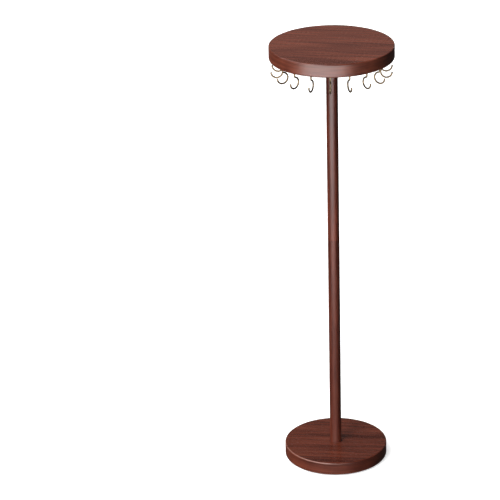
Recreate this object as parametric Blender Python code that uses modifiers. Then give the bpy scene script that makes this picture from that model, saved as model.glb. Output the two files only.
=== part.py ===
"""Hook stand: a round wooden head on a slim post and a round base, with small screw hooks under the head.

The post is two lengths of dowel, screwed together end to end.

Metres, +Z up. The origin is at the centre of the felt pad's underside, where the stand rests, and
hook_01 points along -Y. Neighbouring pieces keep a small clearance, so that each one is a separate
closed solid that can be taken off the others.
"""

import math

import bmesh
import bpy
from mathutils import Matrix, Vector

# Clearance between neighbouring pieces
GAP = 0.0003

# Wooden discs: both are cut from the same board
HEAD_RADIUS = 0.0600
BASE_RADIUS = 0.0510
BOARD_THICKNESS = 0.0127
EDGE_ROUND = 0.0010
SOCKET_DEPTH = 0.0030

# Post, in two lengths that meet at a height above the base's underside
POST_RADIUS = 0.0057
POST_CHAMFER = 0.0005
POST_JOINT_HEIGHT = 0.2330

# Felt pad glued under the base
FELT_RADIUS = 0.0470
FELT_THICKNESS = 0.0010

# Height of the head's top face above the base's underside
BOARDS_HEIGHT = 0.4330

# Countersunk wood screw that holds the post on the base
SCREW_LENGTH = 0.0400
SCREW_SHANK_RADIUS = 0.0020
SCREW_HEAD_RADIUS = 0.0040
SCREW_HEAD_RIM = 0.0005
SCREW_HEAD_CONE = 0.0022
SCREW_HEAD_SINK = 0.0005
SCREW_TIP = 0.0040
DRIVE_LENGTH = 0.0044
DRIVE_WIDTH = 0.0010
DRIVE_DEPTH = 0.0016

# Double-ended wood screws: one joins the post's two lengths, and one holds the head on the post
DOWEL_SCREW_RADIUS = 0.0020
DOWEL_SCREW_TIP = 0.0030
JOINT_SCREW_LENGTH = 0.0320
HEAD_SCREW_LENGTH = 0.0280
HEAD_SCREW_IN_HEAD = 0.0070

# Ring of screw hooks: a straight stem, a small bend, then most of a circle that opens outwards
HOOK_COUNT = 18
HOOK_RING_RADIUS = 0.0527
HOOK_WIRE_RADIUS = 0.00085
HOOK_LOOP_RADIUS = 0.0055
HOOK_LOOP_DROP = 0.0116
HOOK_BEND_RADIUS = 0.0015
HOOK_TIP_ANGLE = 357.0
HOOK_SHANK_LENGTH = 0.0080
HOOK_POINT_LENGTH = 0.0020
HOOK_POINT_SCALE = 0.3
FIRST_HOOK_AZIMUTH = -90.0

# Facets
DISC_STEPS = 72
POST_STEPS = 48
SCREW_STEPS = 20
PILOT_STEPS = 12
ROUND_STEPS = 3
BEND_STEPS = 4
LOOP_STEPS = 16
SHARP_ANGLE = math.radians(35.0)
MERGE_DISTANCE = 0.00001

# Heights that follow from the sizes above
BASE_BOTTOM = FELT_THICKNESS + GAP
BASE_TOP = BASE_BOTTOM + BOARD_THICKNESS
HEAD_TOP = BASE_BOTTOM + BOARDS_HEIGHT
HEAD_BOTTOM = HEAD_TOP - BOARD_THICKNESS
POST_BOTTOM = BASE_TOP - SOCKET_DEPTH + GAP
POST_TOP = HEAD_BOTTOM + SOCKET_DEPTH - GAP
SCREW_BOTTOM = BASE_BOTTOM + SCREW_HEAD_SINK
SCREW_TOP = SCREW_BOTTOM + SCREW_LENGTH
POST_JOINT = BASE_BOTTOM + POST_JOINT_HEIGHT
JOINT_SCREW_TOP = POST_JOINT + JOINT_SCREW_LENGTH / 2.0
JOINT_SCREW_BOTTOM = POST_JOINT - JOINT_SCREW_LENGTH / 2.0
HEAD_SCREW_TOP = HEAD_BOTTOM + SOCKET_DEPTH + HEAD_SCREW_IN_HEAD
HEAD_SCREW_BOTTOM = HEAD_SCREW_TOP - HEAD_SCREW_LENGTH

# Colour, metallic value and roughness of each material
FINISHES = {
    "head_wood": ((0.162, 0.054, 0.038, 1.0), 0.0, 0.35),
    "base_wood": ((0.150, 0.048, 0.034, 1.0), 0.0, 0.35),
    "post_wood": ((0.140, 0.044, 0.032, 1.0), 0.0, 0.30),
    "hook_brass": ((0.760, 0.620, 0.400, 1.0), 1.0, 0.22),
    "screw_steel": ((0.560, 0.560, 0.580, 1.0), 1.0, 0.35),
    "pad_felt": ((0.030, 0.026, 0.024, 1.0), 0.0, 0.95),
}


def clear_scene():
    """Remove what the start-up file holds."""
    for item in list(bpy.data.objects):
        bpy.data.objects.remove(item, do_unlink=True)


def make_collection(name):
    """Add a collection to the scene."""
    collection = bpy.data.collections.new(name)
    bpy.context.scene.collection.children.link(collection)
    return collection


def make_material(name):
    """Make one Principled material from the table of finishes."""
    colour, metallic, roughness = FINISHES[name]
    material = bpy.data.materials.new(name)
    material.use_nodes = True
    shader = material.node_tree.nodes["Principled BSDF"]
    shader.inputs["Base Color"].default_value = colour
    shader.inputs["Metallic"].default_value = metallic
    shader.inputs["Roughness"].default_value = roughness
    material.diffuse_color = colour
    return material


def arc(centre_x, centre_z, radius, start, end, steps):
    """Points of an arc in the XZ plane, with its angles in degrees from +X towards +Z."""
    points = []
    for step in range(steps + 1):
        angle = math.radians(start + (end - start) * step / steps)
        points.append((centre_x + radius * math.cos(angle), centre_z + radius * math.sin(angle)))
    return points


def rounded_rim(radius, bottom, top):
    """A disc's outer outline, with both edges rounded, from its top face down to its bottom face."""
    inset = radius - EDGE_ROUND
    upper = arc(inset, top - EDGE_ROUND, EDGE_ROUND, 90.0, 0.0, ROUND_STEPS)
    lower = arc(inset, bottom + EDGE_ROUND, EDGE_ROUND, 0.0, -90.0, ROUND_STEPS)
    return upper + lower


def turned(name, outline, steps, collection, ring=False):
    """Turn an outline of (radius, height) points about Z. A ring's outline closes on itself."""
    mesh = bpy.data.meshes.new(name + "_outline")
    edges = [(index, index + 1) for index in range(len(outline) - 1)]
    if ring:
        edges.append((len(outline) - 1, 0))
    mesh.from_pydata([(x, 0.0, z) for x, z in outline], edges, [])
    item = bpy.data.objects.new(name, mesh)
    collection.objects.link(item)
    screw = item.modifiers.new("Turn", 'SCREW')
    screw.axis = 'Z'
    screw.steps = steps
    screw.render_steps = steps
    screw.use_merge_vertices = True
    screw.merge_threshold = MERGE_DISTANCE
    evaluated = item.evaluated_get(bpy.context.evaluated_depsgraph_get())
    body = bpy.data.meshes.new_from_object(evaluated)
    body.name = name
    body.shade_smooth()
    body.set_sharp_from_angle(angle=SHARP_ANGLE)
    item.modifiers.clear()
    item.data = body
    bpy.data.meshes.remove(mesh)
    return item


def add_cutter(name, shape, collection):
    """Make a hidden cutter from a bmesh."""
    mesh = bpy.data.meshes.new(name)
    shape.to_mesh(mesh)
    shape.free()
    item = bpy.data.objects.new(name, mesh)
    item.display_type = 'WIRE'
    item.hide_render = True
    collection.objects.link(item)
    return item


def cut(item, cutter):
    """Cut one piece with a cutter."""
    boolean = item.modifiers.new(cutter.name, 'BOOLEAN')
    boolean.operation = 'DIFFERENCE'
    boolean.solver = 'EXACT'
    boolean.object = cutter


def hook_azimuth(index):
    """Angle of a hook about the stand's axis, from +X, in radians."""
    return math.radians(FIRST_HOOK_AZIMUTH + 360.0 * index / HOOK_COUNT)


def make_felt_pad(collection):
    """Felt disc that the stand rests on. It covers the screw."""
    outline = [(0.0, FELT_THICKNESS), (FELT_RADIUS, FELT_THICKNESS), (FELT_RADIUS, 0.0), (0.0, 0.0)]
    return turned("felt_pad", outline, DISC_STEPS, collection)


def make_base_disc(collection):
    """Base with a shallow socket for the post above and a countersunk screw hole below."""
    socket_radius = POST_RADIUS + GAP
    hole_radius = SCREW_SHANK_RADIUS + GAP
    sink_radius = SCREW_HEAD_RADIUS + GAP
    rim_top = SCREW_BOTTOM + SCREW_HEAD_RIM + GAP
    cone_top = rim_top + SCREW_HEAD_CONE
    outline = [(socket_radius, BASE_TOP)]
    outline += rounded_rim(BASE_RADIUS, BASE_BOTTOM, BASE_TOP)
    outline += [(sink_radius, BASE_BOTTOM), (sink_radius, rim_top), (hole_radius, cone_top)]
    outline += [(hole_radius, BASE_TOP - SOCKET_DEPTH), (socket_radius, BASE_TOP - SOCKET_DEPTH)]
    return turned("base_disc", outline, DISC_STEPS, collection, ring=True)


def make_base_screw(collection, cutters):
    """Countersunk wood screw with a cross drive, driven up through the base into the post."""
    cone_bottom = SCREW_BOTTOM + SCREW_HEAD_RIM
    outline = [
        (0.0, SCREW_TOP),
        (SCREW_SHANK_RADIUS, SCREW_TOP - SCREW_TIP),
        (SCREW_SHANK_RADIUS, cone_bottom + SCREW_HEAD_CONE),
        (SCREW_HEAD_RADIUS, cone_bottom),
        (SCREW_HEAD_RADIUS, SCREW_BOTTOM),
        (0.0, SCREW_BOTTOM),
    ]
    item = turned("base_screw", outline, SCREW_STEPS, collection)
    for index, (width, depth) in enumerate(((DRIVE_LENGTH, DRIVE_WIDTH), (DRIVE_WIDTH, DRIVE_LENGTH))):
        slot = bmesh.new()
        bmesh.ops.create_cube(slot, size=1.0)
        bmesh.ops.scale(slot, vec=(width, depth, 2.0 * DRIVE_DEPTH), verts=slot.verts)
        bmesh.ops.translate(slot, vec=(0.0, 0.0, SCREW_BOTTOM), verts=slot.verts)
        cut(item, add_cutter("drive_slot_{}".format(index + 1), slot, cutters))
    return item


def blind_hole(radius, mouth, tip_start, end):
    """Outline of a pilot hole with a pointed end, from its mouth to its end."""
    return [(radius, mouth), (radius, tip_start), (0.0, end)]


def make_post_lower(collection):
    """Lower length of the post, with a pilot hole in each end and a chamfered foot."""
    top = POST_JOINT - GAP / 2.0
    dowel_hole = DOWEL_SCREW_RADIUS + GAP
    end = JOINT_SCREW_BOTTOM - GAP
    outline = blind_hole(dowel_hole, top, end + DOWEL_SCREW_TIP, end)[::-1]
    outline += [
        (POST_RADIUS, top),
        (POST_RADIUS, POST_BOTTOM + POST_CHAMFER),
        (POST_RADIUS - POST_CHAMFER, POST_BOTTOM),
    ]
    outline += blind_hole(SCREW_SHANK_RADIUS + GAP, POST_BOTTOM, SCREW_TOP - SCREW_TIP + GAP, SCREW_TOP + GAP)
    return turned("post_lower", outline, POST_STEPS, collection)


def make_post_upper(collection):
    """Upper length of the post, with a pilot hole in each end and a chamfered top."""
    bottom = POST_JOINT + GAP / 2.0
    dowel_hole = DOWEL_SCREW_RADIUS + GAP
    top_end = HEAD_SCREW_BOTTOM - GAP
    bottom_end = JOINT_SCREW_TOP + GAP
    outline = blind_hole(dowel_hole, POST_TOP, top_end + DOWEL_SCREW_TIP, top_end)[::-1]
    outline += [
        (POST_RADIUS - POST_CHAMFER, POST_TOP),
        (POST_RADIUS, POST_TOP - POST_CHAMFER),
        (POST_RADIUS, bottom),
    ]
    outline += blind_hole(dowel_hole, bottom, bottom_end - DOWEL_SCREW_TIP, bottom_end)
    return turned("post_upper", outline, POST_STEPS, collection)


def make_dowel_screw(name, bottom, top, collection):
    """Double-ended wood screw between two wooden pieces."""
    outline = [
        (0.0, top),
        (DOWEL_SCREW_RADIUS, top - DOWEL_SCREW_TIP),
        (DOWEL_SCREW_RADIUS, bottom + DOWEL_SCREW_TIP),
        (0.0, bottom),
    ]
    return turned(name, outline, SCREW_STEPS, collection)


def pilot_hole_cutter(cutters):
    """One cylinder for each hook's shank, reaching up into the head from below."""
    radius = (HOOK_WIRE_RADIUS + GAP) / math.cos(math.pi / PILOT_STEPS)
    depth = 2.0 * (HOOK_SHANK_LENGTH + GAP)
    shape = bmesh.new()
    for index in range(HOOK_COUNT):
        turn = Matrix.Rotation(hook_azimuth(index), 4, 'Z')
        place = Matrix.Translation((HOOK_RING_RADIUS, 0.0, HEAD_BOTTOM))
        facing = Matrix.Rotation(math.pi / PILOT_STEPS, 4, 'Z')
        bmesh.ops.create_cone(
            shape,
            cap_ends=True,
            segments=PILOT_STEPS,
            radius1=radius,
            radius2=radius,
            depth=depth,
            matrix=turn @ place @ facing,
        )
    return add_cutter("hook_pilot_holes", shape, cutters)


def make_head_disc(collection, cutters):
    """Head with a shallow socket and a pilot hole for the post, and a ring of pilot holes for the hooks."""
    socket_radius = POST_RADIUS + GAP
    pilot_radius = DOWEL_SCREW_RADIUS + GAP
    socket_top = HEAD_BOTTOM + SOCKET_DEPTH
    outline = [(0.0, HEAD_TOP)]
    outline += rounded_rim(HEAD_RADIUS, HEAD_BOTTOM, HEAD_TOP)
    outline += [(socket_radius, HEAD_BOTTOM), (socket_radius, socket_top), (pilot_radius, socket_top)]
    outline += [(pilot_radius, HEAD_SCREW_TOP - DOWEL_SCREW_TIP + GAP), (0.0, HEAD_SCREW_TOP + GAP)]
    item = turned("head_disc", outline, DISC_STEPS, collection)
    cut(item, pilot_hole_cutter(cutters))
    return item


def hook_path():
    """Centre line of a hook in its own XZ plane, with +X outwards and the head's underside at z = 0."""
    loop_z = -HOOK_LOOP_DROP
    reach = HOOK_LOOP_RADIUS + HOOK_BEND_RADIUS
    bend_z = loop_z + math.sqrt(reach ** 2 - HOOK_BEND_RADIUS ** 2)
    bend_turn = math.degrees(math.acos(HOOK_BEND_RADIUS / reach))
    shank = [(0.0, HOOK_SHANK_LENGTH), (0.0, HOOK_SHANK_LENGTH - HOOK_POINT_LENGTH)]
    bend = arc(-HOOK_BEND_RADIUS, bend_z, HOOK_BEND_RADIUS, 0.0, -bend_turn, BEND_STEPS)
    loop = arc(0.0, loop_z, HOOK_LOOP_RADIUS, 180.0 - bend_turn, HOOK_TIP_ANGLE, LOOP_STEPS)
    return shank + bend + loop[1:]


def hook_curve():
    """Wire along the hook's centre line, with a point at the end that screws into the head."""
    curve = bpy.data.curves.new("screw_hook", 'CURVE')
    curve.dimensions = '3D'
    curve.bevel_depth = HOOK_WIRE_RADIUS
    curve.bevel_resolution = 2
    curve.use_fill_caps = True
    path = hook_path()
    spline = curve.splines.new('POLY')
    spline.points.add(len(path) - 1)
    for point, (x, z) in zip(spline.points, path):
        point.co = (x, 0.0, z, 1.0)
    spline.points[0].radius = HOOK_POINT_SCALE
    return curve


def make_hooks(collection):
    """The ring of screw hooks, each one a copy of the same wire."""
    curve = hook_curve()
    hooks = []
    for index in range(HOOK_COUNT):
        azimuth = hook_azimuth(index)
        item = bpy.data.objects.new("hook_{:02d}".format(index + 1), curve)
        item.location = Matrix.Rotation(azimuth, 4, 'Z') @ Vector((HOOK_RING_RADIUS, 0.0, HEAD_BOTTOM))
        item.rotation_euler = (0.0, 0.0, azimuth)
        collection.objects.link(item)
        hooks.append(item)
    return hooks


def paint(items, material):
    """Give pieces a material."""
    for item in items:
        item.data.materials.clear()
        item.data.materials.append(material)


def mount_on_frame(items, collection):
    """Parent every piece to one empty at the stand's origin."""
    frame = bpy.data.objects.new("stand_frame", None)
    collection.objects.link(frame)
    for item in items:
        item.parent = frame


def build_stand():
    """Model the whole stand."""
    clear_scene()
    stand = make_collection("hook_stand")
    cutters = make_collection("hook_stand_cutters")
    felt_pad = make_felt_pad(stand)
    base_disc = make_base_disc(stand)
    base_screw = make_base_screw(stand, cutters)
    posts = [make_post_lower(stand), make_post_upper(stand)]
    joint_screw = make_dowel_screw("joint_screw", JOINT_SCREW_BOTTOM, JOINT_SCREW_TOP, stand)
    head_screw = make_dowel_screw("head_screw", HEAD_SCREW_BOTTOM, HEAD_SCREW_TOP, stand)
    screws = [base_screw, joint_screw, head_screw]
    head_disc = make_head_disc(stand, cutters)
    hooks = make_hooks(stand)
    paint([felt_pad], make_material("pad_felt"))
    paint([base_disc], make_material("base_wood"))
    paint(screws, make_material("screw_steel"))
    paint(posts, make_material("post_wood"))
    paint([head_disc], make_material("head_wood"))
    paint(hooks[:1], make_material("hook_brass"))
    mount_on_frame([felt_pad, base_disc, head_disc] + posts + screws + hooks, stand)


build_stand()
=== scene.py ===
"""Looks of the hook stand: two lacquered wooden discs on a post, with a ring of small brass screw hooks.

Each piece is rebuilt finer than its CAD solid, in the same place, and gets a procedural material.
Lengths are metres. Heights and radii come from the frame; the names below hold what it can't say.
"""

import math
from collections import namedtuple

import bmesh
import bpy
from mathutils import Matrix, Vector


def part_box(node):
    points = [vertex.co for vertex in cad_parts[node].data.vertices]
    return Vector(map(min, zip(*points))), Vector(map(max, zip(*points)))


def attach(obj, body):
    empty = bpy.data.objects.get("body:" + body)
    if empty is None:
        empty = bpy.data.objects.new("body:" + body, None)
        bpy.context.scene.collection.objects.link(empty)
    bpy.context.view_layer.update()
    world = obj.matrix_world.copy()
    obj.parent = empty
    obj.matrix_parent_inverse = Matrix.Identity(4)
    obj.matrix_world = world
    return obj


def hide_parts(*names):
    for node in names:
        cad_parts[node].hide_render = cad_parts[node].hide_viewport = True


MM = 0.001

# Camera: where it stands about the stand, and how it is aimed
CAMERA_DISTANCE = 2.5736
CAMERA_AZIMUTH = math.radians(1.70)
CAMERA_ELEVATION = math.radians(23.175)
CAMERA_PITCH = math.radians(23.043)
CAMERA_PAN = math.radians(1.984)
CAMERA_ROLL = math.radians(1.392)
CAMERA_LENS = 189.11
CAMERA_SENSOR = 36.0
CAMERA_REACH = 50.0

# Wooden pieces
EDGE_ROUND = 1.0 * MM
EDGE_SUPPORT = 1.2 * MM
FIT_GAP = 0.05 * MM
SOCKET_DEPTH = 3.0 * MM
SOCKET_LIP = 0.25 * MM
POST_CHAMFER = 0.5 * MM
JOINT_EASE = 0.08 * MM
DISC_STEPS = 192
POST_STEPS = 96
ARC_STEPS = 8
SHARP_ANGLE = 32.0

# Wood screws
SCREW_RADIUS = 2.0 * MM
SCREW_CORE = 1.4 * MM
SCREW_WAIST = 1.6 * MM
SCREW_TIP = 0.05 * MM
SCREW_PITCH = 1.8 * MM
SCREW_POINT = 4.0 * MM
SCREW_HEAD_RADIUS = 4.0 * MM
SCREW_HEAD_RIM = 0.5 * MM
SCREW_HEAD_CONE = 2.2 * MM
SCREW_NECK = 8.0 * MM
SCREW_SIDES = 40
RINGS_PER_PITCH = 8
DRIVE_LENGTH = 4.4 * MM
DRIVE_WIDTH = 1.0 * MM
DRIVE_DEPTH = 1.6 * MM
DOWEL_POINT = 3.0 * MM
PILOT_RADIUS = SCREW_RADIUS + FIT_GAP
THREAD_FLANK = 0.32
THREAD_CREST = 0.8

# Felt pad
FELT_EDGE_SHARE = 0.35
FELT_RINGS = (0.25, 0.5, 0.75, 0.95)
FELT_EDGE_STEPS = 4
FELT_FRAY = 0.12 * MM
FELT_FRAY_MEAN = 0.5
FELT_WAVES = ((0.3, 37.0, 0.0), (0.2, 83.0, 1.3))

# Hooks
HOOK_COUNT = 18
HOOK_BEND_RADIUS = 1.5 * MM
HOOK_TIP_ANGLE = 357.0
HOOK_SHANK = 8.0 * MM
HOOK_POINT = 2.0 * MM
HOOK_THREAD_END = 1.2 * MM
HOOK_THREAD_PITCH = 0.7 * MM
HOOK_THREAD_DEPTH = 0.14 * MM
HOOK_POINT_RADIUS = 0.03 * MM
HOOK_TIP_BULGE = 0.8
HOOK_SHARP_ANGLE = 50.0
HOOK_SIDES = 20
STEM_STEPS = 6
BEND_STEPS = 10
LOOP_STEPS = 72
TIP_STEPS = 5
HOLE_SIDES = 28
HOLE_LIP = 0.18 * MM

# Wood stain, from the dark streaks to the light ones, how much of it each piece has, and the rims' painted
# shading
WOOD_DARK = (0.072, 0.0138, 0.0066)
WOOD_LIGHT = (0.218, 0.058, 0.033)
PORE_COLOUR = (0.03, 0.007, 0.004)
HEAD_STAIN = (0.92, 0.92, 0.90)
# The base's darker scale: partly its own redder, darker wood, partly painted shade of its lower, less lit
# place
BASE_STAIN_AND_SHADE = (0.64, 0.58, 0.55)
POST_STAIN = (0.61, 0.50, 0.46)
HEAD_RIM_PAINTED_SHADING = 0.84
BASE_RIM_PAINTED_SHADING = 1.04
# Upper post: colour grows lighter towards its lower end, over this reach and by this gain
PALE_REACH = 60.0 * MM
PALE_GAIN = 0.35

# Rounded edges lighter partly from wear and partly as a painted highlight: their colour, the lit
# front-left side that holds the painted highlight, and how much shows
EDGE_WEAR_AND_HIGHLIGHT_COLOUR = (0.30, 0.145, 0.11)
PAINTED_HIGHLIGHT_SIDE = (-0.72, -0.69, 0.0)
EDGE_WEAR_AND_HIGHLIGHT_SHARE = 0.60

# Wood grain: sizes of its noises along the grain and twice across it, and each one's share of the tone
HEAD_GRAIN_TURN = math.radians(8.0)
BASE_GRAIN_TURN = math.radians(4.0)
BROAD_GRAIN = (120.0 * MM, 13.0 * MM, 13.0 * MM)
STREAK_GRAIN = (60.0 * MM, 3.1 * MM, 3.1 * MM)
FIBRE_GRAIN = (22.0 * MM, 0.6 * MM, 0.6 * MM)
PORE_GRAIN = (4.5 * MM, 0.28 * MM, 0.28 * MM)
RIM_LAYERS = (40.0 * MM, 40.0 * MM, 1.6 * MM)
RIM_FIBRE = (12.0 * MM, 12.0 * MM, 0.3 * MM)
BROAD_SHARE = 0.50
STREAK_SHARE = 0.80
FIBRE_SHARE = 0.12
TONE_LOW = 0.46
TONE_HIGH = 0.96
PORE_SHARE = 0.20
PORE_DEPTH = 0.04 * MM

# Lacquer roughness
POST_ROUGHNESS = 0.34
TOP_ROUGHNESS = 0.20
RIM_ROUGHENING = 0.13

# Brass, steel and felt
BRASS_DULL = (0.18, 0.125, 0.075)
BRASS_PLAIN = (0.26, 0.19, 0.115)
BRASS_BRIGHT = (0.32, 0.25, 0.165)
BRASS_TARNISH = (0.12, 0.075, 0.04)
TARNISH_SHARE = 0.25
BRASS_ROUGHNESS = 0.42
BRASS_CLOUD = 4.0 * MM
BRASS_SPECK = 0.6 * MM
STEEL_DARK = (0.46, 0.47, 0.50)
STEEL_LIGHT = (0.66, 0.66, 0.67)
STEEL_ROUGHNESS = 0.25
STEEL_CLOUD = 3.0 * MM
FELT_DARK = (0.014, 0.011, 0.010)
FELT_LIGHT = (0.060, 0.048, 0.042)
FELT_ROUGHNESS = 0.95
FELT_FIBRE = (1.2 * MM, 0.4 * MM, 0.4 * MM)
FELT_TUFT = (4.0 * MM, 5.0 * MM, 4.0 * MM)

# Lamps: place, the point it is aimed at, width and height, power in watts, whether it lights matt surfaces,
# and whether it is seen in reflections
Lamp = namedtuple("Lamp", "name place target size power matt reflected")
LAMPS = (
    Lamp("key", (-0.89, -1.20, 1.75), (0.0, 0.0, 0.25), (0.9, 0.9), 36.0, True, True),
    Lamp("top", (-1.1, 0.3, 2.5), (0.0, 0.0, 0.0), (2.4, 2.4), 52.0, True, True),
    Lamp("front", (-0.389, -0.80, 0.17), (-0.194, 0.05, 0.36), (0.92, 0.36), 9.4, True, True),
    Lamp("sheen", (0.284, -0.953, 0.17), (0.479, -0.103, 0.36), (0.46, 0.36), 4.6, False, True),
    Lamp("back", (0.6, 1.4, 0.35), (0.0, 0.0, 0.25), (1.2, 0.5), 7.0, True, False),
)

# World light: everywhere, added behind the stand, and added again in a low band behind it
WORLD_COLOUR = (1.0, 0.98, 0.98, 1.0)
WORLD_LIGHT = 0.035
WORLD_BACK = 0.05
WORLD_BAND = 0.11

# Floor and backdrop
FLOOR_RADIUS = 9.0
FLOOR_STEPS = 96
BACKDROP_HEIGHT = 5.0
FLOOR_DARK = (0.86, 0.86, 0.86)
FLOOR_LIGHT = (0.89, 0.89, 0.89)
FLOOR_MOTTLE = 0.4
GLOW_NEAR = 0.7
GLOW_ADDED = 0.4
GLOW_START = 0.3
GLOW_END = 2.0


# ---------------------------------------------------------------- meshes

def skin(name, rings, wear_and_highlight=None, closed=False):
    """A smooth mesh over rings of points, from the top down the outer side. A ring may be one point."""
    shape = bmesh.new()
    layer = shape.verts.layers.float.new("wear_and_highlight")
    made = []
    for index, ring in enumerate(rings):
        corners = [shape.verts.new(point) for point in ring]
        for corner in corners:
            corner[layer] = wear_and_highlight[index] if wear_and_highlight else 0.0
        made.append(corners)
    pairs = list(zip(made, made[1:]))
    if closed:
        pairs.append((made[-1], made[0]))
    for upper, lower in pairs:
        sides = max(len(upper), len(lower))
        for side in range(sides):
            after = (side + 1) % sides
            loop = []
            for corner in (
                upper[side % len(upper)],
                lower[side % len(lower)],
                lower[after % len(lower)],
                upper[after % len(upper)],
            ):
                if corner not in loop:
                    loop.append(corner)
            shape.faces.new(loop)
    mesh = bpy.data.meshes.new(name)
    shape.to_mesh(mesh)
    shape.free()
    item = bpy.data.objects.new(name, mesh)
    bpy.context.scene.collection.objects.link(item)
    return item


def shade(item, angle=SHARP_ANGLE):
    """Smooth shading with sharp edges kept."""
    item.data.shade_smooth()
    item.data.set_sharp_from_angle(angle=math.radians(angle))


def circle(radius, height, sides):
    """Points of a level circle about the stand's axis, or its one centre point."""
    if radius <= 0.0:
        return [Vector((0.0, 0.0, height))]
    points = []
    for side in range(sides):
        angle = 2.0 * math.pi * side / sides
        points.append(Vector((radius * math.cos(angle), radius * math.sin(angle), height)))
    return points


def turned(name, outline, sides, closed=False):
    """A turned piece from (radius, height, wear and highlight) points that run down its outer side."""
    rings = [circle(radius, height, sides) for radius, height, _ in outline]
    return skin(name, rings, [wear_and_highlight for _, _, wear_and_highlight in outline], closed)


def arc(centre_x, centre_z, radius, start, end, steps):
    """Points of an arc, with its angles in degrees from the first axis towards the second."""
    points = []
    for step in range(steps + 1):
        angle = math.radians(start + (end - start) * step / steps)
        points.append((centre_x + radius * math.cos(angle), centre_z + radius * math.sin(angle)))
    return points


def rounded_rim(radius, bottom, top):
    """A disc's outer outline with rounded edges, marked for wear and painted highlight most at each
    rounding's middle.
    """
    inset = radius - EDGE_ROUND
    outline = [(inset - EDGE_SUPPORT, top, 0.0)]
    for index, (x, z) in enumerate(arc(inset, top - EDGE_ROUND, EDGE_ROUND, 90.0, 0.0, ARC_STEPS)):
        outline.append((x, z, math.sin(math.pi * index / ARC_STEPS)))
    outline.append((radius, top - EDGE_ROUND - EDGE_SUPPORT, 0.0))
    outline.append((radius, bottom + EDGE_ROUND + EDGE_SUPPORT, 0.0))
    for index, (x, z) in enumerate(arc(inset, bottom + EDGE_ROUND, EDGE_ROUND, 0.0, -90.0, ARC_STEPS)):
        outline.append((x, z, math.sin(math.pi * index / ARC_STEPS)))
    outline.append((inset - EDGE_SUPPORT, bottom, 0.0))
    return outline


def plain(*points):
    """Outline points with no mark for edge wear and painted highlight."""
    return [(x, z, 0.0) for x, z in points]


def cut(item, cutter):
    """Cut a piece with a cutter and remove the cutter."""
    boolean = item.modifiers.new("Cut", 'BOOLEAN')
    boolean.operation = 'DIFFERENCE'
    boolean.solver = 'EXACT'
    boolean.object = cutter
    graph = bpy.context.evaluated_depsgraph_get()
    mesh = bpy.data.meshes.new_from_object(item.evaluated_get(graph))
    item.modifiers.clear()
    item.data = mesh
    bpy.data.objects.remove(cutter)


def block(name, size, centre):
    """A box-shaped cutter."""
    shape = bmesh.new()
    bmesh.ops.create_cube(shape, size=1.0)
    bmesh.ops.scale(shape, vec=size, verts=shape.verts)
    bmesh.ops.translate(shape, vec=centre, verts=shape.verts)
    mesh = bpy.data.meshes.new(name)
    shape.to_mesh(mesh)
    shape.free()
    item = bpy.data.objects.new(name, mesh)
    bpy.context.scene.collection.objects.link(item)
    return item


def thread(turns, side, sides):
    """Height of a screw thread's ridge, from 0 in the groove to 1 on the crest."""
    phase = (turns - side / sides) % 1.0
    return max(0.0, 1.0 - abs(phase - 0.5) / THREAD_FLANK) ** THREAD_CREST


# ---------------------------------------------------------------- pieces

def read_frame():
    """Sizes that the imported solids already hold."""
    base_low, base_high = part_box("base_disc")
    head_low, head_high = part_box("head_disc")
    lower_low, lower_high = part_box("post_lower")
    upper_low, upper_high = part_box("post_upper")
    pad_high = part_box("felt_pad")[1]
    screw_low, screw_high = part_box("base_screw")
    joint_low, joint_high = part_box("joint_screw")
    dowel_low, dowel_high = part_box("head_screw")
    hook_low, hook_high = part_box("hook_01")
    wire_radius = hook_high.x
    loop_radius = (hook_high.y - hook_low.y) / 2.0 - wire_radius
    return {
        "base_radius": base_high.x,
        "base_bottom": base_low.z,
        "base_top": base_high.z,
        "head_radius": head_high.x,
        "head_bottom": head_low.z,
        "head_top": head_high.z,
        "post_radius": lower_high.x,
        "post_bottom": lower_low.z,
        "post_joint": (lower_high.z + upper_low.z) / 2.0,
        "post_top": upper_high.z,
        "pad_radius": pad_high.x,
        "pad_top": pad_high.z,
        "screw_bottom": screw_low.z,
        "screw_top": screw_high.z,
        "joint_bottom": joint_low.z,
        "joint_top": joint_high.z,
        "dowel_bottom": dowel_low.z,
        "dowel_top": dowel_high.z,
        "wire_radius": wire_radius,
        "loop_radius": loop_radius,
        "loop_z": hook_low.z + wire_radius + loop_radius,
        "ring_radius": -(hook_low.y + hook_high.y) / 2.0,
    }


def socket_radius(size):
    """The post's sockets fit it closely."""
    return size["post_radius"] + FIT_GAP


def make_base(size):
    """Base disc, with a socket above and a countersunk hole below."""
    top, bottom = size["base_top"], size["base_bottom"]
    socket = socket_radius(size)
    floor = top - SOCKET_DEPTH
    sink = SCREW_HEAD_RADIUS + FIT_GAP
    rim = size["screw_bottom"] + SCREW_HEAD_RIM + FIT_GAP
    outline = plain((socket, top - SOCKET_LIP), (socket + SOCKET_LIP, top))
    outline += rounded_rim(size["base_radius"], bottom, top)
    outline += plain((sink, bottom), (sink, rim), (PILOT_RADIUS, rim + SCREW_HEAD_CONE))
    outline += plain((PILOT_RADIUS, floor), (socket, floor))
    item = turned("base", outline, DISC_STEPS, closed=True)
    shade(item)
    return item


def blind_hole(mouth, tip_start, end):
    """Outline of a pilot hole with a pointed end, from its mouth to its end."""
    return plain((PILOT_RADIUS, mouth), (PILOT_RADIUS, tip_start), (0.0, end))


def make_post_lower(size):
    """Lower length of the post, with a chamfered foot and a pilot hole in each end."""
    radius = size["post_radius"]
    bottom = size["post_bottom"]
    top = size["post_joint"] - FIT_GAP / 2.0
    end = size["joint_bottom"] - FIT_GAP
    outline = blind_hole(top, end + DOWEL_POINT, end)[::-1]
    outline += plain((radius - JOINT_EASE, top), (radius, top - JOINT_EASE))
    outline += plain((radius, bottom + POST_CHAMFER), (radius - POST_CHAMFER, bottom))
    outline += blind_hole(bottom, size["screw_top"] - SCREW_POINT + FIT_GAP, size["screw_top"] + FIT_GAP)
    item = turned("lower_rod", outline, POST_STEPS)
    shade(item)
    return item


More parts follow.
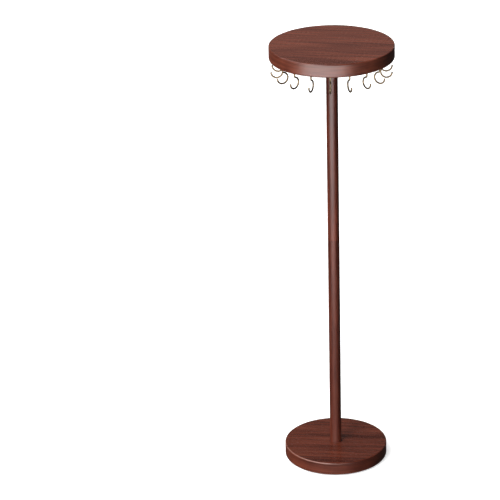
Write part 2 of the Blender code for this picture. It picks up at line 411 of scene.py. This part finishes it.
def make_post_upper(size):
    """Upper length of the post, with a chamfered top and a pilot hole in each end."""
    radius = size["post_radius"]
    top = size["post_top"]
    bottom = size["post_joint"] + FIT_GAP / 2.0
    head_end = size["dowel_bottom"] - FIT_GAP
    joint_end = size["joint_top"] + FIT_GAP
    outline = blind_hole(top, head_end + DOWEL_POINT, head_end)[::-1]
    outline += plain((radius - POST_CHAMFER, top), (radius, top - POST_CHAMFER))
    outline += plain((radius, bottom + JOINT_EASE), (radius - JOINT_EASE, bottom))
    outline += blind_hole(bottom, joint_end - DOWEL_POINT, joint_end)
    item = turned("upper_rod", outline, POST_STEPS)
    shade(item)
    return item


def hook_azimuth(index):
    """Angle of a hook from +X. The first hook points along -Y."""
    return -math.pi / 2.0 + 2.0 * math.pi * index / HOOK_COUNT


def hook_holes(size):
    """Cutter for the ring of pilot holes, each with a small countersink at its mouth."""
    radius = size["wire_radius"] + FIT_GAP
    lip = radius + HOLE_LIP
    bottom = size["head_bottom"]
    levels = (
        (0.0, HOOK_SHANK + FIT_GAP),
        (radius, HOOK_SHANK - HOOK_POINT),
        (radius, HOLE_LIP),
        (lip, 0.0),
        (lip, -HOLE_LIP),
        (0.0, -HOLE_LIP),
    )
    shape = bmesh.new()
    for index in range(HOOK_COUNT):
        rings = [circle(width, height, HOLE_SIDES) for width, height in levels]
        one = skin("hole", rings)
        azimuth = hook_azimuth(index)
        reach = size["ring_radius"]
        place = Matrix.Translation((reach * math.cos(azimuth), reach * math.sin(azimuth), bottom))
        one.data.transform(place)
        shape.from_mesh(one.data)
        bpy.data.objects.remove(one)
    mesh = bpy.data.meshes.new("hook_holes")
    shape.to_mesh(mesh)
    shape.free()
    item = bpy.data.objects.new("hook_holes", mesh)
    bpy.context.scene.collection.objects.link(item)
    return item


def make_head(size):
    """Head disc, with a socket for the post and the hooks' pilot holes below."""
    top, bottom = size["head_top"], size["head_bottom"]
    socket = socket_radius(size)
    floor = bottom + SOCKET_DEPTH
    outline = plain((0.0, top))
    outline += rounded_rim(size["head_radius"], bottom, top)
    outline += plain((socket + SOCKET_LIP, bottom), (socket, bottom + SOCKET_LIP), (socket, floor))
    outline += plain((PILOT_RADIUS, floor), (PILOT_RADIUS, size["dowel_top"] - DOWEL_POINT + FIT_GAP))
    outline += plain((0.0, size["dowel_top"] + FIT_GAP))
    item = turned("head", outline, DISC_STEPS)
    cut(item, hook_holes(size))
    shade(item)
    return item


def make_pad(size):
    """Felt pad with soft edges and a slightly uneven outline."""
    radius, top = size["pad_radius"], size["pad_top"]
    soft = FELT_EDGE_SHARE * top
    outline = [(0.0, top)] + [(radius * part, top) for part in FELT_RINGS]
    outline += arc(radius - soft, top - soft, soft, 90.0, 0.0, FELT_EDGE_STEPS)
    outline += arc(radius - soft, soft, soft, 0.0, -90.0, FELT_EDGE_STEPS)
    outline += [(radius * part, 0.0) for part in reversed(FELT_RINGS)] + [(0.0, 0.0)]
    item = turned("felt", plain(*outline), DISC_STEPS)
    for vertex in item.data.vertices:
        spread = math.hypot(vertex.co.x, vertex.co.y)
        if spread > radius - 2.0 * soft:
            angle = math.atan2(vertex.co.y, vertex.co.x)
            fray = FELT_FRAY_MEAN
            for share, waves, start in FELT_WAVES:
                fray += share * math.sin(waves * angle + start)
            vertex.co.x *= 1.0 - FELT_FRAY * fray / spread
            vertex.co.y *= 1.0 - FELT_FRAY * fray / spread
    shade(item)
    return item


def threaded(name, bottom, top, radius_at, step):
    """A rod about the stand's axis. radius_at gives its radius at a height and side."""
    count = int(math.ceil((top - bottom) / step))
    rings = [[Vector((0.0, 0.0, top))]]
    for index in range(1, count):
        height = top - (top - bottom) * index / count
        ring = []
        for side in range(SCREW_SIDES):
            angle = 2.0 * math.pi * side / SCREW_SIDES
            radius = radius_at(height, side)
            ring.append(Vector((radius * math.cos(angle), radius * math.sin(angle), height)))
        rings.append(ring)
    rings.append([Vector((0.0, 0.0, bottom))])
    return skin(name, rings)


def make_base_screw(size):
    """Countersunk wood screw with a cross drive, its thread cut up to a plain neck."""
    bottom, top = size["screw_bottom"], size["screw_top"]
    cone = bottom + SCREW_HEAD_RIM
    neck = cone + SCREW_HEAD_CONE
    step = SCREW_PITCH / RINGS_PER_PITCH
    rings = [[Vector((0.0, 0.0, top))]]
    count = int((top - neck) / step)
    for index in range(1, count):
        height = top - (top - neck) * index / count
        point = min(1.0, (top - height) / SCREW_POINT)
        run_out = min(1.0, max(0.0, (height - neck - SCREW_NECK) / SCREW_PITCH))
        ring = []
        for side in range(SCREW_SIDES):
            angle = 2.0 * math.pi * side / SCREW_SIDES
            ridge = thread(height / SCREW_PITCH, side, SCREW_SIDES)
            body = SCREW_CORE + (SCREW_RADIUS - SCREW_CORE) * (1.0 - run_out)
            crest = body + (SCREW_RADIUS - body) * ridge
            radius = max(crest * point, SCREW_TIP)
            ring.append(Vector((radius * math.cos(angle), radius * math.sin(angle), height)))
        rings.append(ring)
    rings.append(circle(SCREW_RADIUS, neck, SCREW_SIDES))
    rings.append(circle(SCREW_HEAD_RADIUS, cone, SCREW_SIDES))
    rings.append(circle(SCREW_HEAD_RADIUS, bottom, SCREW_SIDES))
    rings.append(circle(0.0, bottom, SCREW_SIDES))
    item = skin("countersunk_screw", rings)
    centre = (0.0, 0.0, bottom)
    cut(item, block("slot_a", (DRIVE_LENGTH, DRIVE_WIDTH, 2.0 * DRIVE_DEPTH), centre))
    cut(item, block("slot_b", (DRIVE_WIDTH, DRIVE_LENGTH, 2.0 * DRIVE_DEPTH), centre))
    shade(item)
    return item


def make_dowel_screw(name, bottom, top, waist):
    """Double-ended wood screw with a plain waist where its two pieces meet."""
    def radius_at(height, side):
        point = min(1.0, (top - height) / DOWEL_POINT, (height - bottom) / DOWEL_POINT)
        if abs(height - waist) < SCREW_PITCH:
            return SCREW_WAIST
        ridge = thread(height / SCREW_PITCH, side, SCREW_SIDES)
        return max((SCREW_CORE + (SCREW_RADIUS - SCREW_CORE) * ridge) * point, SCREW_TIP)

    item = threaded(name, bottom, top, radius_at, SCREW_PITCH / RINGS_PER_PITCH)
    shade(item)
    return item


def hook_line(size):
    """A hook's centre line as (outward, height) points, from its buried point to its free tip."""
    loop = size["loop_radius"]
    drop = size["loop_z"] - size["head_bottom"]
    reach = loop + HOOK_BEND_RADIUS
    bend_z = drop + math.sqrt(reach ** 2 - HOOK_BEND_RADIUS ** 2)
    turn = math.degrees(math.acos(HOOK_BEND_RADIUS / reach))
    step = HOOK_THREAD_PITCH / RINGS_PER_PITCH
    count = int(round((HOOK_SHANK - HOOK_THREAD_END) / step))
    points = [(0.0, HOOK_SHANK - step * index) for index in range(1, count + 1)]
    stem = points[-1][1] - bend_z
    points += [(0.0, points[-1][1] - stem * part / STEM_STEPS) for part in range(1, STEM_STEPS)]
    points += arc(-HOOK_BEND_RADIUS, bend_z, HOOK_BEND_RADIUS, 0.0, -turn, BEND_STEPS)
    points += arc(0.0, drop, loop, 180.0 - turn, HOOK_TIP_ANGLE, LOOP_STEPS)[1:]
    return points


def make_hook(size, index):
    """One screw hook: threaded point in the head, straight stem, small bend, open loop, rounded tip."""
    azimuth = hook_azimuth(index)
    outward = Vector((math.cos(azimuth), math.sin(azimuth), 0.0))
    across = Vector((-math.sin(azimuth), math.cos(azimuth), 0.0))
    upward = Vector((0.0, 0.0, 1.0))
    origin = outward * size["ring_radius"] + upward * size["head_bottom"]
    wire = size["wire_radius"]
    line = hook_line(size)
    rings = [[origin + upward * HOOK_SHANK]]
    for place, (out, height) in enumerate(line):
        before = line[max(place - 1, 0)]
        after = line[min(place + 1, len(line) - 1)]
        along = Vector((after[0] - before[0], after[1] - before[1])).normalized()
        side_way = outward * -along.y + upward * along.x
        middle = origin + outward * out + upward * height
        point = min(1.0, (HOOK_SHANK - height) / HOOK_POINT) if height > 0.0 else 1.0
        cut_in = HOOK_THREAD_DEPTH if height > HOOK_THREAD_END else 0.0
        ring = []
        for side in range(HOOK_SIDES):
            angle = 2.0 * math.pi * side / HOOK_SIDES
            ridge = thread(height / HOOK_THREAD_PITCH, side, HOOK_SIDES)
            radius = max((wire - cut_in * (1.0 - ridge)) * point, HOOK_POINT_RADIUS)
            ring.append(middle + side_way * radius * math.cos(angle) + across * radius * math.sin(angle))
        rings.append(ring)
    tip = rings[-1]
    end = sum(tip, Vector()) / len(tip)
    for step in range(1, TIP_STEPS + 1):
        lean = math.pi / 2.0 * step / TIP_STEPS
        ahead = (outward * along.x + upward * along.y) * wire * HOOK_TIP_BULGE * math.sin(lean)
        ring = [end + (corner - end) * math.cos(lean) + ahead for corner in tip]
        rings.append(ring if step < TIP_STEPS else [end + ahead])
    item = skin("wire_hook_{:02d}".format(index + 1), rings)
    shade(item, HOOK_SHARP_ANGLE)
    return item


# ---------------------------------------------------------------- materials

def add_node(tree, kind, inputs=None, **settings):
    """Add a shader node. An input is a value, or another node's output socket."""
    made = tree.nodes.new(kind)
    for key, value in settings.items():
        setattr(made, key, value)
    for key, value in (inputs or {}).items():
        if isinstance(value, bpy.types.NodeSocket):
            tree.links.new(value, made.inputs[key])
        else:
            made.inputs[key].default_value = value
    return made


def calculate(tree, operation, *values):
    """A Math node's result."""
    return add_node(tree, "ShaderNodeMath", dict(enumerate(values)), operation=operation).outputs[0]


def new_material(name):
    """An empty node material with its Principled shader."""
    material = bpy.data.materials.new(name)
    material.use_nodes = True
    tree = material.node_tree
    return material, tree, tree.nodes["Principled BSDF"]


def stretched_noise(tree, place, lengths, seed, detail=3.0, roughness=0.5):
    """Noise whose features have about the given lengths along the grain and across it, in metres."""
    scale = tuple(1.0 / length for length in lengths)
    spread = add_node(
        tree,
        "ShaderNodeMapping",
        {"Vector": place, "Location": (seed, 1.7 * seed, 0.6 * seed), "Scale": scale},
    )
    made = add_node(
        tree,
        "ShaderNodeTexNoise",
        {"Vector": spread.outputs[0], "Scale": 1.0, "Detail": detail, "Roughness": roughness},
    )
    return made.outputs["Fac"]


def ramp(tree, factor, stops):
    """A colour ramp. Each stop is (position, colour)."""
    made = add_node(tree, "ShaderNodeValToRGB", {"Fac": factor})
    elements = made.color_ramp.elements
    while len(elements) < len(stops):
        elements.new(0.5)
    for element, (position, colour) in zip(elements, stops):
        element.position = position
        element.color = (*colour, 1.0)
    return made.outputs["Color"]


def level(tree, factor, low, high):
    """Rise smoothly from 0 at low to 1 at high."""
    made = add_node(
        tree,
        "ShaderNodeMapRange",
        {"Value": factor, "From Min": low, "From Max": high},
        interpolation_type='SMOOTHSTEP',
    )
    return made.outputs["Result"]


def mix_colour(tree, factor, first, second, blend='MIX'):
    """Blend two colours."""
    made = add_node(tree, "ShaderNodeMix", data_type='RGBA', blend_type=blend)
    for key, value in ((0, factor), (6, first), (7, second)):
        if isinstance(value, bpy.types.NodeSocket):
            tree.links.new(value, made.inputs[key])
        else:
            made.inputs[key].default_value = value
    return made.outputs[2]


def wood_material(name, turn, seed, stain, painted_rim_shading=None, pale_end=None):
    """Stained straight-grained wood under satin lacquer.

    turn brings the grain onto X, and stain scales the wood's colour. A disc with a rim factor has an edge
    band, whose grain runs round it and whose colour is scaled again as painted shading of the rim. pale_end
    is the height of an end towards which the colour grows lighter. Rounded edges are lighter, partly from
    wear and partly as a painted highlight on the lit side.
    """
    material, tree, shader = new_material(name)
    place = add_node(tree, "ShaderNodeTexCoord").outputs["Object"]
    grain = add_node(tree, "ShaderNodeMapping", {"Vector": place, "Rotation": turn}).outputs[0]
    broad = stretched_noise(tree, grain, BROAD_GRAIN, seed + 3.1, 2.0)
    streak = stretched_noise(tree, grain, STREAK_GRAIN, seed + 5.3, 4.0, 0.60)
    fibre = stretched_noise(tree, grain, FIBRE_GRAIN, seed + 7.9, 3.0, 0.6)
    pores = stretched_noise(tree, grain, PORE_GRAIN, seed + 9.7, 1.0)
    rough = POST_ROUGHNESS
    if painted_rim_shading is not None:
        normal = add_node(tree, "ShaderNodeNewGeometry").outputs["True Normal"]
        lean = add_node(tree, "ShaderNodeSeparateXYZ", {"Vector": normal}).outputs["Z"]
        side = level(tree, calculate(tree, 'ABSOLUTE', lean), 0.85, 0.55)
        layers = stretched_noise(tree, place, RIM_LAYERS, seed + 6.1, 3.0, 0.60)
        veins = stretched_noise(tree, place, RIM_FIBRE, seed + 8.2, 2.0)
        streak = add_node(tree, "ShaderNodeMix", {0: side, 2: streak, 3: layers}).outputs[0]
        fibre = add_node(tree, "ShaderNodeMix", {0: side, 2: fibre, 3: veins}).outputs[0]
        rough = calculate(tree, 'MULTIPLY_ADD', side, RIM_ROUGHENING, TOP_ROUGHNESS)
    pore = level(tree, pores, 0.60, 0.70)
    streaked = calculate(tree, 'MULTIPLY', streak, STREAK_SHARE)
    tone = calculate(tree, 'MULTIPLY_ADD', broad, BROAD_SHARE, streaked)
    tone = calculate(tree, 'MULTIPLY_ADD', fibre, FIBRE_SHARE, tone)
    tone = level(tree, tone, TONE_LOW, TONE_HIGH)
    dark = tuple(part * share for part, share in zip(WOOD_DARK, stain))
    light = tuple(part * share for part, share in zip(WOOD_LIGHT, stain))
    colour = ramp(tree, tone, ((0.0, dark), (1.0, light)))
    # Rims: colour scaled as painted shading of their sides, darker on the head and slightly lighter on the
    # base
    if painted_rim_shading is not None:
        painted_shading = (painted_rim_shading, painted_rim_shading, painted_rim_shading, 1.0)
        colour = mix_colour(tree, side, colour, painted_shading, 'MULTIPLY')
    if pale_end is not None:
        height = add_node(tree, "ShaderNodeSeparateXYZ", {"Vector": place}).outputs["Z"]
        pale = level(tree, height, pale_end + PALE_REACH, pale_end)
        gain = calculate(tree, 'MULTIPLY_ADD', pale, PALE_GAIN, 1.0)
        gain = add_node(tree, "ShaderNodeCombineXYZ", {"X": gain, "Y": gain, "Z": gain}).outputs[0]
        colour = mix_colour(tree, 1.0, colour, gain, 'MULTIPLY')
    pitted = calculate(tree, 'MULTIPLY', pore, PORE_SHARE)
    colour = mix_colour(tree, pitted, colour, (*PORE_COLOUR, 1.0))
    # Rounded edges lighter: partly wear, partly a painted highlight on the lit front-left side
    rub_and_highlight = edge_wear_and_highlight(tree, place, streak)
    worn_and_highlit = mix_colour(tree, calculate(tree, 'MULTIPLY', rub_and_highlight, EDGE_WEAR_AND_HIGHLIGHT_SHARE), colour, (*EDGE_WEAR_AND_HIGHLIGHT_COLOUR, 1.0))
    tree.links.new(worn_and_highlit, shader.inputs["Base Color"])
    gloss = calculate(tree, 'MULTIPLY_ADD', fibre, 0.08, rough)
    gloss = calculate(tree, 'MULTIPLY_ADD', pore, 0.06, gloss)
    gloss = calculate(tree, 'MULTIPLY_ADD', rub_and_highlight, 0.10, gloss)
    tree.links.new(gloss, shader.inputs["Roughness"])
    relief = calculate(tree, 'SUBTRACT', calculate(tree, 'MULTIPLY', fibre, 0.25), pore)
    bump = add_node(tree, "ShaderNodeBump", {"Height": relief, "Strength": 0.25, "Distance": PORE_DEPTH})
    tree.links.new(bump.outputs[0], shader.inputs["Normal"])
    shader.inputs["IOR"].default_value = 1.5
    return material


def edge_wear_and_highlight(tree, place, streak):
    """Lighter rounded edges, partly wear and partly a painted highlight on the lit front-left side, broken
    up along the grain.
    """
    edge = add_node(tree, "ShaderNodeAttribute", attribute_name="wear_and_highlight").outputs["Fac"]
    outward = add_node(tree, "ShaderNodeVectorMath", {0: place}, operation='NORMALIZE').outputs[0]
    lit_side = add_node(tree, "ShaderNodeVectorMath", {0: outward, 1: PAINTED_HIGHLIGHT_SIDE}, operation='DOT_PRODUCT')
    rub_and_highlight = calculate(tree, 'MULTIPLY', edge, level(tree, lit_side.outputs["Value"], 0.55, 0.85))
    return calculate(tree, 'MULTIPLY', rub_and_highlight, level(tree, streak, 0.25, 0.50))


def brass_material():
    """Aged brass wire, clouded and finely specked."""
    material, tree, shader = new_material("aged_brass")
    place = add_node(tree, "ShaderNodeTexCoord").outputs["Object"]
    cloud = stretched_noise(tree, place, (BRASS_CLOUD,) * 3, 2.0, 3.0)
    speck = stretched_noise(tree, place, (BRASS_SPECK,) * 3, 4.0, 2.0)
    colour = ramp(tree, cloud, ((0.30, BRASS_DULL), (0.55, BRASS_PLAIN), (0.80, BRASS_BRIGHT)))
    stain = calculate(tree, 'MULTIPLY', level(tree, speck, 0.58, 0.75), TARNISH_SHARE)
    tarnished = mix_colour(tree, stain, colour, (*BRASS_TARNISH, 1.0))
    tree.links.new(tarnished, shader.inputs["Base Color"])
    gloss = calculate(tree, 'MULTIPLY_ADD', cloud, 0.12, BRASS_ROUGHNESS)
    tree.links.new(calculate(tree, 'MULTIPLY_ADD', speck, 0.08, gloss), shader.inputs["Roughness"])
    bump = add_node(tree, "ShaderNodeBump", {"Height": speck, "Strength": 0.15, "Distance": 0.02 * MM})
    tree.links.new(bump.outputs[0], shader.inputs["Normal"])
    shader.inputs["Metallic"].default_value = 1.0
    return material


def steel_material():
    """Zinc-plated steel with a slightly cloudy surface."""
    material, tree, shader = new_material("zinc_steel")
    place = add_node(tree, "ShaderNodeTexCoord").outputs["Object"]
    cloud = stretched_noise(tree, place, (STEEL_CLOUD,) * 3, 1.0, 3.0)
    colour = ramp(tree, cloud, ((0.3, STEEL_DARK), (0.7, STEEL_LIGHT)))
    tree.links.new(colour, shader.inputs["Base Color"])
    gloss = calculate(tree, 'MULTIPLY_ADD', cloud, 0.2, STEEL_ROUGHNESS)
    tree.links.new(gloss, shader.inputs["Roughness"])
    bump = add_node(tree, "ShaderNodeBump", {"Height": cloud, "Strength": 0.1, "Distance": 0.03 * MM})
    tree.links.new(bump.outputs[0], shader.inputs["Normal"])
    shader.inputs["Metallic"].default_value = 1.0
    return material


def felt_material():
    """Dark brown pressed felt."""
    material, tree, shader = new_material("brown_felt")
    place = add_node(tree, "ShaderNodeTexCoord").outputs["Object"]
    fibres = stretched_noise(tree, place, FELT_FIBRE, 3.0, 6.0, 0.75)
    tufts = stretched_noise(tree, place, FELT_TUFT, 6.0, 3.0)
    tone = calculate(tree, 'MULTIPLY_ADD', tufts, 0.5, calculate(tree, 'MULTIPLY', fibres, 0.6))
    colour = ramp(tree, tone, ((0.35, FELT_DARK), (0.75, FELT_LIGHT)))
    tree.links.new(colour, shader.inputs["Base Color"])
    bump = add_node(tree, "ShaderNodeBump", {"Height": fibres, "Strength": 0.8, "Distance": 0.2 * MM})
    tree.links.new(bump.outputs[0], shader.inputs["Normal"])
    shader.inputs["Roughness"].default_value = FELT_ROUGHNESS
    shader.inputs["Sheen Weight"].default_value = 0.3
    return material


def floor_material():
    """Matt white paper, very slightly mottled, that glows more with its distance from the stand."""
    material, tree, shader = new_material("white_floor")
    place = add_node(tree, "ShaderNodeTexCoord").outputs["Object"]
    mottle = stretched_noise(tree, place, (FLOOR_MOTTLE,) * 3, 1.0, 2.0)
    colour = ramp(tree, mottle, ((0.2, FLOOR_DARK), (0.8, FLOOR_LIGHT)))
    tree.links.new(colour, shader.inputs["Base Color"])
    shader.inputs["Roughness"].default_value = 0.9
    shader.inputs["Specular IOR Level"].default_value = 0.1
    tree.links.new(colour, shader.inputs["Emission Color"])
    reach = add_node(tree, "ShaderNodeVectorMath", {0: place}, operation='LENGTH').outputs["Value"]
    far = level(tree, reach, GLOW_START, GLOW_END)
    glow = calculate(tree, 'MULTIPLY_ADD', far, GLOW_ADDED, GLOW_NEAR)
    tree.links.new(glow, shader.inputs["Emission Strength"])
    return material


# ---------------------------------------------------------------- assembly

def mount(item, material, slot, *nodes):
    """Give a piece its material and put it in the frame in place of CAD nodes."""
    item.data.materials.clear()
    item.data.materials.append(material)
    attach(item, "root")
    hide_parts(*nodes)


def dress_stand(size):
    """Build every piece and mount it."""
    head_grain = (0.0, 0.0, HEAD_GRAIN_TURN)
    base_grain = (0.0, 0.0, BASE_GRAIN_TURN)
    grain_up = (0.0, math.radians(90.0), 0.0)
    head_wood = wood_material("head_wood", head_grain, 0.0, HEAD_STAIN, painted_rim_shading=HEAD_RIM_PAINTED_SHADING)
    base_wood = wood_material("base_wood", base_grain, 1.0, BASE_STAIN_AND_SHADE, painted_rim_shading=BASE_RIM_PAINTED_SHADING)
    lower_wood = wood_material("lower_post_wood", grain_up, 2.0, POST_STAIN)
    upper_wood = wood_material("upper_post_wood", grain_up, 4.0, POST_STAIN, pale_end=size["post_joint"])
    steel = steel_material()
    brass = brass_material()
    mount(make_head(size), head_wood, "head_wood", "head_disc")
    mount(make_base(size), base_wood, "base_wood", "base_disc")
    mount(make_post_lower(size), lower_wood, "post_wood", "post_lower")
    mount(make_post_upper(size), upper_wood, "post_wood", "post_upper")
    mount(make_pad(size), felt_material(), "pad_felt", "felt_pad")
    mount(make_base_screw(size), steel, "screw_steel", "base_screw")
    low, high = size["joint_bottom"], size["joint_top"]
    joint_screw = make_dowel_screw("joining_screw", low, high, size["post_joint"])
    mount(joint_screw, steel, "screw_steel", "joint_screw")
    low, high = size["dowel_bottom"], size["dowel_top"]
    head_screw = make_dowel_screw("top_screw", low, high, size["post_top"])
    mount(head_screw, steel, "screw_steel", "head_screw")
    for index in range(HOOK_COUNT):
        hook = make_hook(size, index)
        mount(hook, brass, "hook_brass", "hook_{:02d}".format(index + 1))


def make_floor():
    """Plain white floor that curves up into a backdrop.

    It returns no light to the stand, so that the stand's sides keep their shade.
    """
    outline = plain((0.0, 0.0), (FLOOR_RADIUS - BACKDROP_HEIGHT, 0.0))
    bend = arc(FLOOR_RADIUS - BACKDROP_HEIGHT, BACKDROP_HEIGHT, BACKDROP_HEIGHT, -90.0, 0.0, 2 * ARC_STEPS)
    outline += plain(*bend[1:])
    floor = turned("floor", outline, FLOOR_STEPS)
    floor.data.shade_smooth()
    floor.data.materials.append(floor_material())
    floor.visible_diffuse = False
    floor.visible_glossy = False


def add_lamp(lamp):
    """A soft rectangular lamp that the camera doesn't see."""
    light = bpy.data.lights.new(lamp.name, 'AREA')
    light.shape = 'RECTANGLE'
    light.size, light.size_y = lamp.size
    light.energy = lamp.power
    item = bpy.data.objects.new(lamp.name, light)
    bpy.context.scene.collection.objects.link(item)
    item.visible_camera = False
    item.visible_diffuse = lamp.matt
    item.visible_glossy = lamp.reflected
    item.location = lamp.place
    aim = Vector(lamp.target) - Vector(lamp.place)
    item.rotation_euler = aim.to_track_quat('-Z', 'Y').to_euler()


def light_studio():
    """The lamps, and a dim world that is lighter behind the stand."""
    for lamp in LAMPS:
        add_lamp(lamp)
    world = bpy.data.worlds.new("studio")
    world.use_nodes = True
    tree = world.node_tree
    direction = add_node(tree, "ShaderNodeTexCoord").outputs["Generated"]
    parts = add_node(tree, "ShaderNodeSeparateXYZ", {"Vector": direction}).outputs
    low = level(tree, parts["Z"], 0.44, 0.36)
    band = calculate(tree, 'MULTIPLY_ADD', low, WORLD_BAND, WORLD_BACK)
    behind = level(tree, parts["Y"], 0.2, 0.8)
    back = calculate(tree, 'MULTIPLY', behind, level(tree, parts["Z"], 0.05, 0.26))
    background = tree.nodes["Background"].inputs
    background["Color"].default_value = WORLD_COLOUR
    tree.links.new(calculate(tree, 'MULTIPLY_ADD', back, band, WORLD_LIGHT), background["Strength"])
    bpy.context.scene.world = world


def add_camera(size):
    """A long lens that looks down at the stand from the front and leaves room on its left."""
    middle = Vector((0.0, 0.0, (size["base_bottom"] + size["head_top"]) / 2.0))
    level_reach = CAMERA_DISTANCE * math.cos(CAMERA_ELEVATION)
    stand_back = Vector((0.0, -level_reach, CAMERA_DISTANCE * math.sin(CAMERA_ELEVATION)))
    forward = Vector((
        -math.sin(CAMERA_PAN) * math.cos(CAMERA_PITCH),
        math.cos(CAMERA_PAN) * math.cos(CAMERA_PITCH),
        -math.sin(CAMERA_PITCH),
    ))
    right = forward.cross(Vector((0.0, 0.0, 1.0))).normalized()
    up = right.cross(forward)
    tilted_right = right * math.cos(CAMERA_ROLL) - up * math.sin(CAMERA_ROLL)
    tilted_up = right * math.sin(CAMERA_ROLL) + up * math.cos(CAMERA_ROLL)
    axes = Matrix((tilted_right, tilted_up, -forward)).transposed().to_4x4()
    about = Matrix.Rotation(CAMERA_AZIMUTH, 4, 'Z')
    lens = bpy.data.cameras.new("camera")
    lens.lens = CAMERA_LENS
    lens.sensor_width = CAMERA_SENSOR
    lens.clip_end = CAMERA_REACH
    camera = bpy.data.objects.new("camera", lens)
    bpy.context.scene.collection.objects.link(camera)
    camera.matrix_world = about @ Matrix.Translation(middle + stand_back) @ axes
    bpy.context.scene.camera = camera


def corners(box):
    """A box as plain lists."""
    return [list(corner) for corner in box]


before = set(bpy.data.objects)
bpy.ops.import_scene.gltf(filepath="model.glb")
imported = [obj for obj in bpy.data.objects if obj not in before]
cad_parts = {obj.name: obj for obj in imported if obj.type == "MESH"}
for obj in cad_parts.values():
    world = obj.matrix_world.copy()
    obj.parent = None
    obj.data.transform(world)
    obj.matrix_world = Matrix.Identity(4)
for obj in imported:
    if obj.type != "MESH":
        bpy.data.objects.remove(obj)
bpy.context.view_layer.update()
sizes = read_frame()
add_camera(sizes)
light_studio()
make_floor()
dress_stand(sizes)
bpy.context.scene.view_settings.view_transform = 'Standard'
